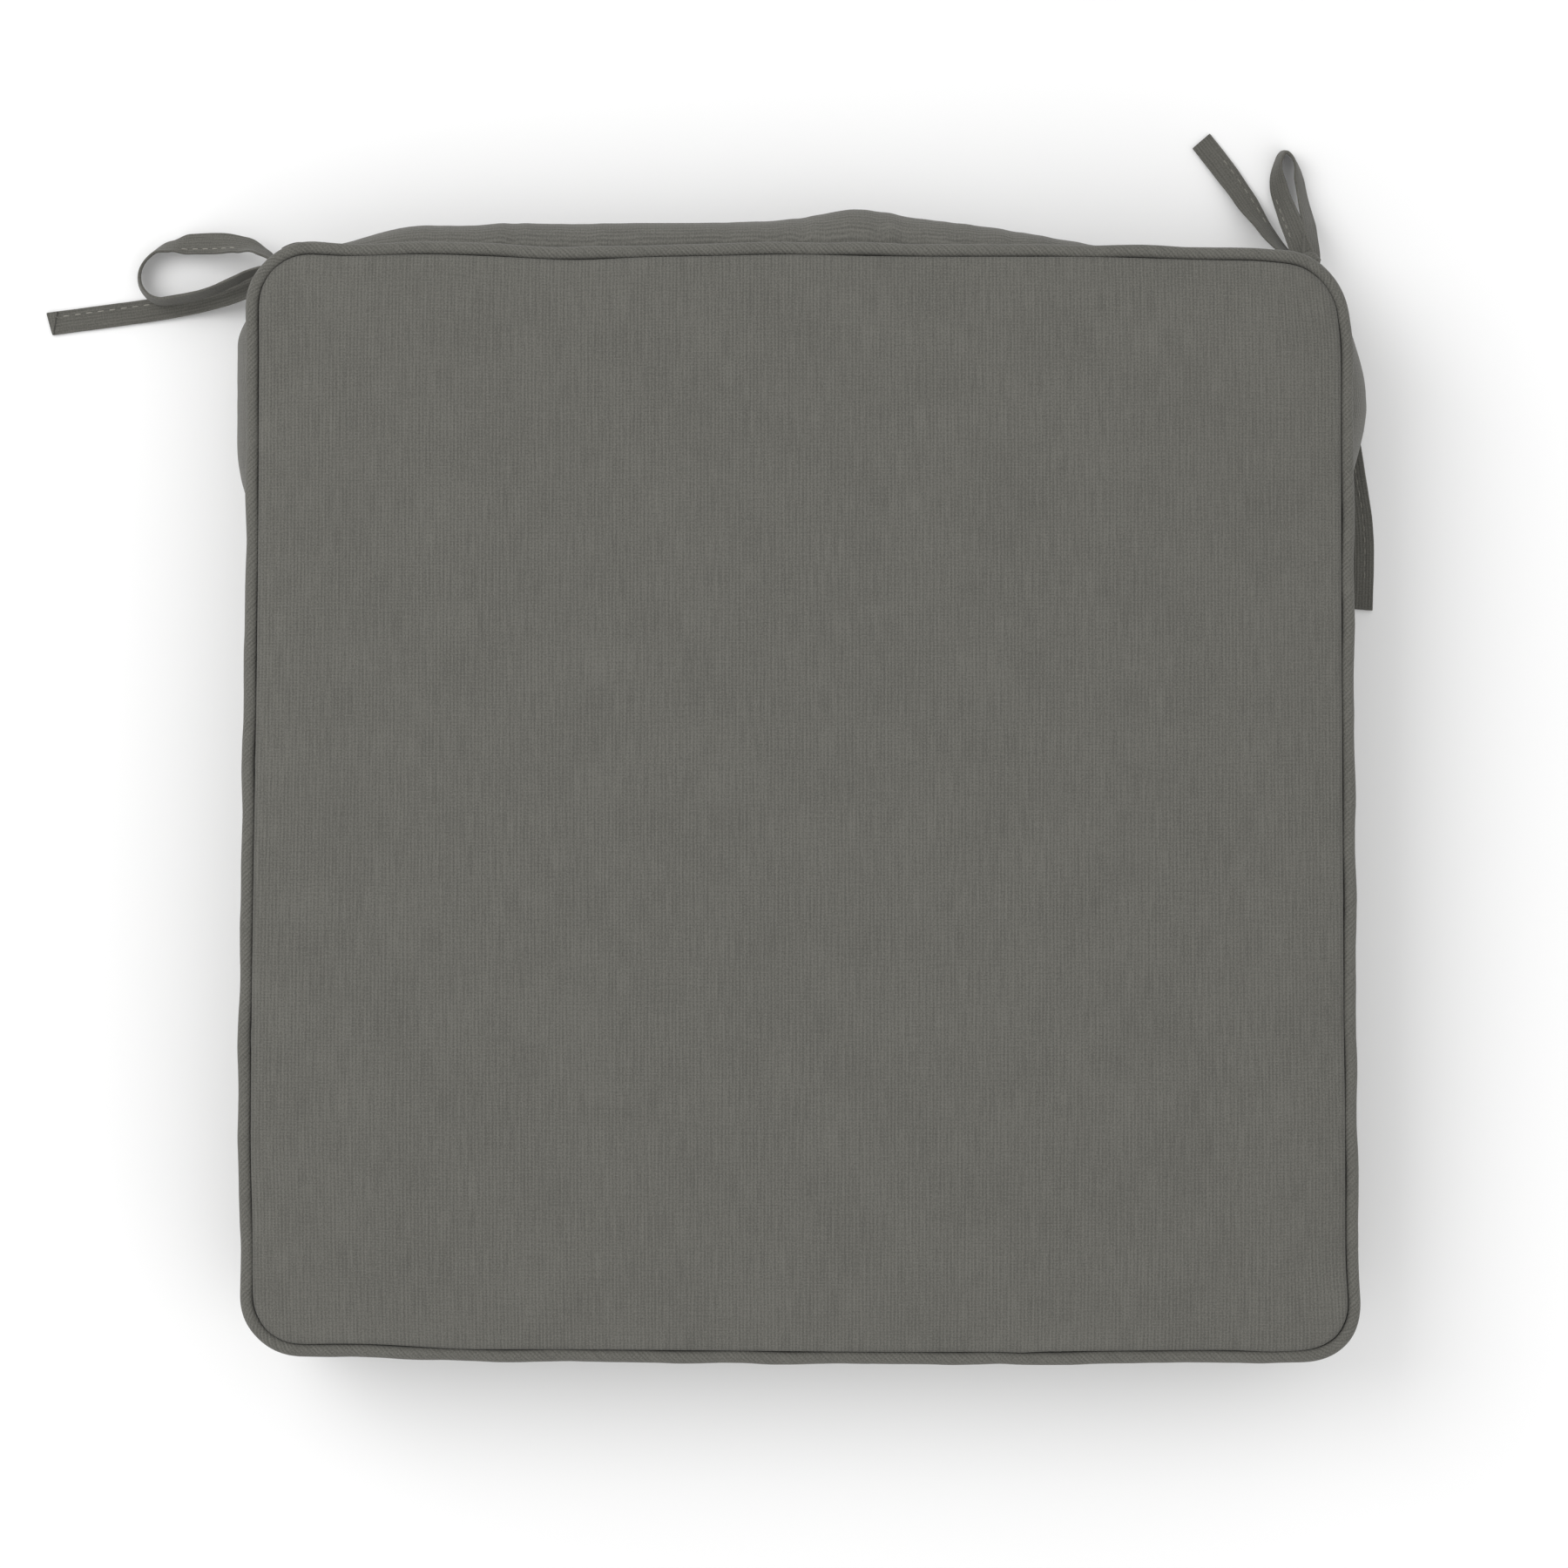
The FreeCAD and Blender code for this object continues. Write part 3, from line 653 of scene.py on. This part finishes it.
def stitch_shape(line, turns, offset, lift, pitch, dash=3.7, gauge=0.27, span=(3.0, 999.0)):
    """Row of thread stitches on both faces of a tape: small pods that dip in at both ends."""
    _, across, face, run = tape_frames(line, turns)
    places = np.arange(span[0], min(run[-1] - 1.0, span[1]) - dash, pitch)
    share = np.linspace(0, 1, 7)
    angle = np.linspace(0, 2 * math.pi, 6, endpoint=False)
    pods = []
    for side in (-1, 1):
        at = places[:, None] + share[None] * dash
        middle, sideways, out = sampled(at, run, line, across, face)
        height = lift - 0.45 * (2 * share - 1) ** 4
        thick = gauge * np.sqrt(np.clip(1 - (2 * share - 1) ** 4, 0.02, 1))
        centre = middle + sideways * offset + out * (side * height)[None, :, None]
        ring = (centre[:, :, None] + thick[None, :, None, None]
                * (np.cos(angle)[None, None, :, None] * sideways[:, :, None]
                   + np.sin(angle)[None, None, :, None] * out[:, :, None]))
        pods += [grid(pod, np.zeros((7, 7, 2)), around=True, caps=True) for pod in ring]
    return join(pods)


# ---- the ties ----

# name, route, (share of the length, degrees of turn), stitch row and where it runs, body,
# stands for, end, slant of the end, folded corner
TIES = (
    ("left_tail_tape", LEFT_TAIL, ((0, 36), (0.22, 14), (0.45, 4), (1, 0)), -2.7, (42, 999),
     "left_bow", "left_tail", "bare", -1.5, 5.4),
    ("left_loop_tape", LEFT_LOOP, ((0, 80), (0.05, 66), (0.13, 38), (0.22, 18), (0.31, 22),
                                   (0.37, 58), (0.43, 80), (0.6, 80), (0.8, 80), (1, 84)), 3.0,
     (22, 56), "left_bow", "left_loop", "object", 0.0, 0.0),
    ("left_rear_tape", LEFT_REAR_TAIL, ((0, 58), (0.1, 38), (0.26, 56), (0.45, 88), (1, 88)), -2.7,
     (3, 999), "left_rear_strand", "left_rear_tail", "bare", -2.0, 0.0),
    ("right_tail_tape", RIGHT_TAIL, ((0, 66), (0.3, 46), (0.55, 18), (0.8, 3), (1, 0)), -2.7,
     (26, 66), "right_bow", "right_tail", "bare", -0.4, 0.0),
    ("right_loop_tape", RIGHT_LOOP, ((0, -24), (0.14, -30), (0.34, -50), (0.47, -80), (0.54, -80),
                                     (0.64, -62), (0.84, -50), (1, -36)), 2.7,
     (14, 40), "right_bow", "right_loop", "object", 0.0, 0.0),
    ("right_side_tape", RIGHT_SIDE_TAIL, ((0, 88), (0.4, 88), (0.56, 12), (0.7, 0), (1, 0)), 1.0,
     (84, 150), "right_side_strand", "right_side_tail", "bare", 0.5, 0.0),
)


def fold_shape(line, turns, width, thick, slant, back):
    """Corner of a tape's end turned over on it: a thin triangle from the end to a slanting crease."""
    _, across, face, run = tape_frames(line, turns)
    u, v = np.meshgrid(np.linspace(0.02, 0.96, 9), np.linspace(0, 1, 7), indexing="ij")
    a = width * (u - 0.5)
    at = run[-1] + slant * a / width - 0.2 - v * back * (1 - u)
    centre, side, up = sampled(at, run, line, across, face * np.sign(face[-1, 2]))
    lift = thick / 2 + 0.25 + 0.4 * v ** 2
    points = centre + a[..., None] * side + lift[..., None] * up
    maps = np.stack([at, a], -1)
    facing = np.cross(points[0, 1] - points[0, 0], points[1, 0] - points[0, 0])[2] > 0
    return grid(points, maps) if facing else grid(points[::-1], maps[::-1])


def band_shape(centre, wide, deep, tilt, heading, width, seed, thick=1.7):
    """One turn of tape in a knot: a closed band round an oval, tilted, pinched and crumpled."""
    t = np.linspace(0, 2 * math.pi, 48, endpoint=False)
    ct, st, ch, sh = math.cos(tilt), math.sin(tilt), math.cos(heading), math.sin(heading)
    first = np.array([ch, sh, 0.0])
    second = np.array([-sh * ct, ch * ct, st])
    axis = np.cross(first, second)
    spread = 1 + 0.06 * np.sin(3 * t + seed)
    line = (np.array(centre) + (wide * spread * np.cos(t))[:, None] * first
            + (deep * spread * np.sin(t))[:, None] * second
            + (0.7 * np.sin(2 * t + seed))[:, None] * axis)
    outward = line - np.array(centre)
    outward = unit(outward - (outward @ axis)[:, None] * axis)
    a, b = tape_profile(width, thick, 2.4)
    curl = 0.06 * a ** 2 / width * 2
    narrow = 1 - 0.22 * (0.5 + 0.5 * np.sin(2 * t + 1.3 + seed))
    ring = (line[:, None] + (narrow[:, None] * a[None])[..., None] * axis
            + (b[None] - curl[None] * 4 + 0.25 * np.sin(5 * t[:, None] + a[None] + seed))[..., None]
            * outward[:, None])
    place, run = np.meshgrid(np.concatenate([a, a[:1]]), np.linspace(0, 6.2 * wide, 49))
    points, faces, maps = grid(ring, np.stack([place, run], -1), around=True, along=True)
    return points, [face[::-1] for face in faces], maps.reshape(-1, 4, 2)[:, ::-1].reshape(-1, 2)


def knot_shape(centre, heading):
    """Half-bow knot: a tucked core and three crossing wraps of the tape."""
    x, y, z = centre
    wraps = [((x, y, z), 4.9, 5.2, 1.45, heading, 8.5, 1.0),
             ((x, y, z - 1.0), 3.6, 3.8, 0.35, heading + 0.6, 9.5, 2.3),
             ((x, y, z + 0.8), 4.2, 5.6, 1.05, heading + 1.7, 7.5, 4.0),
             ((x, y, z), 2.2, 2.4, 0.8, heading + 2.4, 9.0, 0.2)]
    return join([band_shape(*wrap) for wrap in wraps])


# ---- the zip ----

def coil_shape(side, z_line):
    """One row of the zip: a filament wound as a flattened spiral along X, one pitch a turn."""
    turns, steps = round(2 * COIL_HALF / COIL_PITCH), 10
    t = np.arange(turns * steps + 1) / steps
    angle = 2 * math.pi * t
    x = -COIL_HALF + t * (2 * COIL_HALF / turns)
    y = 248.78 + 0.45 * np.cos(angle)
    z = z_line + side * (1.85 + 0.85 * np.sin(angle))
    line = np.stack([x, y, z], -1)
    along = unit(np.gradient(line, axis=0))
    across = unit(np.cross(along, [1.0, 0.0, 0.0]))
    return tube(line, across, np.cross(along, across), np.full(len(t), 0.31), 5, closed=False)


def strip_shape(x0, x1, y, low, high, thick=0.5, columns=220, wave=0.05):
    """Flat woven strip facing the rear, with a faint waviness and rounded edges."""
    x = np.linspace(x1, x0, columns)
    angle = np.linspace(0, 2 * math.pi, 20, endpoint=False)
    b = np.sign(np.cos(angle)) * abs(np.cos(angle)) ** 0.3 * (high - low) / 2
    n = np.sign(np.sin(angle)) * abs(np.sin(angle)) ** 0.5 * thick / 2
    middle = y - thick / 2 - wave + wave * np.sin(x / 9)
    ring = np.stack(np.broadcast_arrays(x[:, None], middle[:, None] + n[None],
                                        (low + high) / 2 - b[None]), -1)
    around = np.concatenate([b, b[:1]])
    run, place = np.meshgrid(x, around, indexing="ij")
    return grid(ring, np.stack([place, run], -1), around=True, caps=True)


# ---- settings ----

def colour(name, description, code):
    """A colour that the user may change, from its sRGB hex code."""
    return bpy.props.FloatVectorProperty(name=name, description=description, subtype="COLOR",
                                         default=linear(code), min=0.0, max=1.0)


def length(name, description, default, low, high):
    """A length in metres that the user may change."""
    return bpy.props.FloatProperty(name=name, description=description, unit="LENGTH",
                                   default=default, min=low, max=high)


class SEATPAD_PG_cloth(bpy.types.PropertyGroup):
    """Cloth and thread of the pad."""
    cover: colour("Cover", "Colour of the cover cloth", "5E5D58")
    tie: colour("Ties", "Colour of the ties' cloth", "5A5954")
    thread: colour("Thread", "Colour of the sewing thread", "8E8C84")
    ribs: length("Rib spacing", "From one warp rib of the canvas to the next", 0.0016, 0.0004, 0.01)
    cloth: length("Cloth thickness", "Thickness of the cover cloth", 0.0008, 0.0002, 0.003)


class SEATPAD_PG_ties(bpy.types.PropertyGroup):
    """Folded and stitched tapes at the rear corners."""
    width: length("Tape width", "Width of a folded tie", 0.011, 0.004, 0.03)
    thick: length("Tape thickness", "Thickness of a folded tie", 0.0016, 0.0005, 0.004)
    pitch: length("Stitch pitch", "From one stitch to the next", 0.0055, 0.001, 0.02)


class SEATPAD_PG_stage(bpy.types.PropertyGroup):
    """Camera, floor and light."""
    height: length("Camera height", "Height of the camera above the floor", 1.975, 0.5, 5.0)
    lens: bpy.props.FloatProperty(
        name="Lens", description="Focal length", subtype="DISTANCE_CAMERA",
        default=95.7, min=20.0, max=300.0)
    sky: bpy.props.FloatProperty(
        name="Room light", description="Strength of the even light from all round",
        default=0.86, min=0.0, max=5.0)
    key: bpy.props.FloatProperty(
        name="Main light", description="Power of the large light on the left", unit="POWER",
        default=28.0, min=0.0, max=500.0)


def cover_cloth(settings):
    """The canvas of the panels, the boxing and the piping."""
    return shared("polyester canvas, mid grey", canvas, tuple(settings.cover), settings.ribs)


def tie_cloth(settings):
    """The same canvas in the ties, a shade darker and with its ribs closer."""
    return shared("polyester canvas, folded tape", canvas, tuple(settings.tie), settings.ribs * 0.9)


def sewing_thread(settings):
    """The thread of the left ties and of the bartacks."""
    return shared("spun polyester thread", thread, tuple(settings.thread))


def shaded_thread():
    """The same thread on the right ties, darkened nearly to the cloth's tone: painted shade for the side
    that the main light leaves in shade.
    """
    return shared("worn sewing thread", thread, linear("7e7c74"))


def lamp(name, kind, place, turn, size, power):
    """Adds a light aimed by its turn, in degrees."""
    light = bpy.data.lights.new(name, kind)
    light.energy = power
    light.shape = "RECTANGLE"
    light.size, light.size_y = size
    holder = bpy.data.objects.new(name, light)
    holder.location = place
    holder.rotation_euler = [math.radians(a) for a in turn]
    bpy.context.scene.collection.objects.link(holder)


# ---- operators ----

class SEATPAD_OT_stage(bpy.types.Operator):
    """Camera straight above, pale floor and soft studio light"""
    bl_idname = "seatpad.stage"
    bl_label = "Stage"

    def execute(self, context):
        settings = context.scene.seatpad_stage
        eye = bpy.data.cameras.new("eye")
        eye.lens = settings.lens
        eye.sensor_width = 36.0
        eye.dof.use_dof = False
        holder = bpy.data.objects.new("eye", eye)
        holder.location = (-0.0071, 0.0091, settings.height)
        context.scene.collection.objects.link(holder)
        context.scene.camera = holder
        x, y = np.meshgrid([-6.0, 6.0], [-6.0, 6.0])
        points, faces, _ = grid(np.stack([x, y, 0 * x - 0.0001], -1), np.zeros((2, 2, 2)))
        mesh = bpy.data.meshes.new("floor")
        mesh.from_pydata(points.tolist(), [], faces)
        mesh.materials.append(shared("matt white board", pale_floor))
        floor = bpy.data.objects.new("floor", mesh)
        context.scene.collection.objects.link(floor)
        world = bpy.data.worlds.new("room")
        world.use_nodes = True
        sky = world.node_tree.nodes["Background"]
        sky.inputs[0].default_value = (1.0, 1.0, 1.0, 1.0)
        sky.inputs[1].default_value = settings.sky
        context.scene.world = world
        lamp("main light", "AREA", (-1.5, 0.9, 2.1), (-26, -36, 0), (1.8, 1.8), settings.key)
        lamp("fill light", "AREA", (1.3, -1.2, 2.4), (24, 28, 0), (2.2, 2.2), settings.key * 0.35)
        context.scene.view_settings.view_transform = "Standard"
        return {"FINISHED"}


class SEATPAD_OT_ties(bpy.types.Operator):
    """Six folded tapes with their stitch rows"""
    bl_idname = "seatpad.ties"
    bl_label = "Ties"

    def execute(self, context):
        size = context.scene.seatpad_ties
        cloth = context.scene.seatpad_cloth
        width, thick = size.width / MM, size.thick / MM
        for name, route, turns, row, sewn, body, node_name, end, slant, fold in TIES:
            line = smooth_line(name, route)
            piece = build(name, tape_shape(line, turns, row, width, thick, slant), tie_cloth(cloth),
                          body, (node_name,))
            # the right ties' stitches take the thread darkened with painted shade
            sewing = sewing_thread(cloth) if "left" in name else shaded_thread()
            seam = stitch_shape(line, turns, row, thick / 2 - 0.12, size.pitch / MM, span=sewn)
            parts = [build(name + "_stitches", seam, sewing, body, smooth=0)]
            if fold:
                parts.append(build(name + "_fold", fold_shape(line, turns, width, thick, slant, fold),
                                   tie_cloth(cloth), body, (), 0.7, smooth=0))
        return {"FINISHED"}


class SEATPAD_OT_knots(bpy.types.Operator):
    """Half-bow knots and the sewn roots of the ties"""
    bl_idname = "seatpad.knots"
    bl_label = "Knots"

    def execute(self, context):
        cloth = context.scene.seatpad_cloth
        for side, centre, heading in (("left", LEFT_KNOT, 2.4), ("right", RIGHT_KNOT, 1.0)):
            build(side + "_knot_wraps", knot_shape(centre, heading), tie_cloth(cloth), "pad",
                  (side + "_knot",))
            way = -1 if side == "left" else 1
            ends = [(way * 225.4, 249.8, 28.0), (way * 227.6, 249.85, 28.0),
                    (way * 230.0, 250.0, 28.1), (way * 232.8, 250.2, 28.0)]
            line = smooth_line(side + "_root", ends)
            turns = ((0, 90), (1, 86))
            build(side + "_root_tape", tape_shape(line, turns, 2.7, 11.0, 1.6), tie_cloth(cloth),
                  "pad", (side + "_tie_root",))
            rows = [stitch_shape(line + [0, 0.1, 0], turns, offset, 0.75, 1.3, 1.2, 0.22, (1.0, 999.0))
                    for offset in (-3.6, -1.8, 0.0, 1.8, 3.6)]
            build(side + "_bartack", join(rows), sewing_thread(cloth), "pad", smooth=0)
        return {"FINISHED"}


class SEATPAD_OT_cover(bpy.types.Operator):
    """Top and bottom panels, the boxing and the two plackets of the zip"""
    bl_idname = "seatpad.cover"
    bl_label = "Cover"

    def execute(self, context):
        settings = context.scene.seatpad_cloth
        cloth = cover_cloth(settings)
        thick = settings.cloth / MM
        lid = top_panel_shape()
        inward = panel_plan(LID_COUNT, PANEL_CROWDING)[3].ravel()
        lid = draped(lid, np.round(np.clip((9 - inward) / 6, 0, 1) * 5) / 5, 2.4)
        top = build("top_cover_cloth", lid, cloth, "pad", ("top_panel",), thick)
        base = build("bottom_cover_cloth", bottom_panel_shape(), cloth, "pad", ("bottom_panel",),
                     thick, smooth=0)
        seam_low, seam_high = LOW_WELT_Z + 1.5, HIGH_WELT_Z - 1.5
        rear = (QUARTER - CORNER, QUARTER + CORNER)
        side = build("side_boxing_cloth",
                     boxing_shape(rear[1], 5 * QUARTER - CORNER, 620, seam_low, seam_high,
                                  seam_low, seam_high, 26),
                     cloth, "pad", ("side_boxing",), thick)
        upper_low = ZIP_Z + ZIP_MOUTH + 0.5
        upper = build("rear_placket_upper",
                      boxing_shape(*rear, 230, upper_low, seam_high,
                                   upper_low - 0.5, seam_high, 26, slack=1.0, hems=(PLACKET_HEM, 0)),
                      cloth, "pad", ("rear_boxing_upper",), thick)
        lower = build("rear_placket_lower",
                      boxing_shape(*rear, 230, seam_low, ZIP_Z - ZIP_MOUTH,
                                   seam_low, ZIP_Z, 10, hems=(0, PLACKET_HEM)),
                      cloth, "pad", ("rear_boxing_lower",), thick)
        return {"FINISHED"}


class SEATPAD_OT_welts(bpy.types.Operator):
    """Bias-cut piping with its filler cord, round the top and round the bottom"""
    bl_idname = "seatpad.welts"
    bl_label = "Piping"

    def execute(self, context):
        cloth = cover_cloth(context.scene.seatpad_cloth)
        for place, z, share in (("top", HIGH_WELT_Z, 1.0), ("bottom", LOW_WELT_Z, 0.7)):
            centre, side, up, radius = welt_line(z, share, 760, 0.02)
            build(place + "_piping_cloth", tube(centre, side, up, radius, 14, math.radians(45)), cloth,
                  "pad", (place + "_welt_sleeve",))
            build(place + "_piping_filler", tube(centre, side, up, radius * 0 + 2.3, 12),
                  shared("laid cotton cord", cotton_cord), "pad", (place + "_welt_cord",),
                  smooth=0)
        return {"FINISHED"}


class SEATPAD_OT_filling(bpy.types.Operator):
    """Foam core between two layers of fibre wadding"""
    bl_idname = "seatpad.filling"
    bl_label = "Filling"

    def execute(self, context):
        foam = build("foam_block", block_shape(243.2, 4.6, 68.6, 4.0, 0.0),
                     shared("open-cell polyurethane foam", cellular, "C9BE9E", "E6DEC4", 0.0016, 0.0006),
                     "pad", ("foam_core",), smooth=0)
        wadding = shared("polyester wadding", cellular, "DAD9D5", "F1F0EC", 0.007, 0.002)
        above = build("fibre_layer_top", block_shape(240.5, 68.9, 71.4, 1.4, 3.2), wadding,
                      "pad", ("fibre_wrap_top",), smooth=0)
        below = build("fibre_layer_bottom", block_shape(241.5, 1.5, 4.3, 1.3, 0.0), wadding,
                      "pad", ("fibre_wrap_bottom",), smooth=0)
        for piece, fill in ((foam, 0.95), (above, 0.6), (below, 0.6)):
            weld(piece)
        return {"FINISHED"}


class SEATPAD_OT_zip(bpy.types.Operator):
    """Coils, tapes and end cloths of the rear zip, and a plated metal on its stops, slider and pull"""
    bl_idname = "seatpad.zip"
    bl_label = "Zip"

    def execute(self, context):
        settings = context.scene.seatpad_cloth
        cloth = cover_cloth(settings)
        dark = linear("3A3A38")
        tape = shared("woven polyester zip tape", woven_tape, dark)
        coil = shared("nylon coil", nylon, dark)
        metal = shared("zinc, dark nickel plate", plated_zinc)
        for place, side, far in (("upper", 1, 11.4), ("lower", -1, 9.9)):
            build("zip_row_" + place, coil_shape(side, ZIP_Z), coil, "pad", ("zip_coil_" + place,),
                  smooth=0)
            low, high = sorted((ZIP_Z + side * 0.6, ZIP_Z + side * far))
            build("zip_band_" + place, strip_shape(-BAND_HALF, BAND_HALF, TAPE_FACE, low, high), tape, "pad",
                  ("zip_tape_" + place,), smooth=0)
        tabs = [strip_shape(x0, x1, 249.0, 16.55, 27.9, 1.0, 30, 0.0)
                for x0, x1 in ((-225.6, -201.1), (201.1, 225.6))]
        build("zip_end_cloths", join(tabs), cloth, "pad", ("zip_end_tabs",))
        for name in ("zip_bottom_stop", "zip_top_stops", "zip_slider", "zip_pull"):
            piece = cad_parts[name]
            piece.data.materials.clear()
            piece.data.materials.append(metal)
        return {"FINISHED"}


class SEATPAD_PT_panel(bpy.types.Panel):
    """Lists the pad's pieces and their settings"""
    bl_idname = "SEATPAD_PT_panel"
    bl_label = "Seat pad"
    bl_space_type = "VIEW_3D"
    bl_region_type = "UI"
    bl_category = "Seat pad"

    def draw(self, context):
        scene = context.scene
        for settings in (scene.seatpad_stage, scene.seatpad_cloth, scene.seatpad_ties):
            box = self.layout.box()
            for name in settings.bl_rna.properties.keys():
                if name not in ("rna_type", "name"):
                    box.prop(settings, name)
        for operator in OPERATORS:
            self.layout.operator(operator.bl_idname)


OPERATORS = (SEATPAD_OT_stage, SEATPAD_OT_ties, SEATPAD_OT_knots, SEATPAD_OT_cover, SEATPAD_OT_welts,
             SEATPAD_OT_filling, SEATPAD_OT_zip)
GROUPS = (("seatpad_stage", SEATPAD_PG_stage), ("seatpad_cloth", SEATPAD_PG_cloth),
          ("seatpad_ties", SEATPAD_PG_ties))


def register():
    for name, group in GROUPS:
        bpy.utils.register_class(group)
        setattr(bpy.types.Scene, name, bpy.props.PointerProperty(type=group))
    for made in (*OPERATORS, SEATPAD_PT_panel):
        bpy.utils.register_class(made)


def unregister():
    for made in (SEATPAD_PT_panel, *reversed(OPERATORS)):
        bpy.utils.unregister_class(made)
    for name, group in reversed(GROUPS):
        delattr(bpy.types.Scene, name)
        bpy.utils.unregister_class(group)


def main():
    """Registers the settings, operators and panel, and builds everything."""
    register()
    for step in ("stage", "ties", "knots", "cover", "welts", "filling", "zip"):
        getattr(bpy.ops.seatpad, step)()


if __name__ == "__main__":
    main()
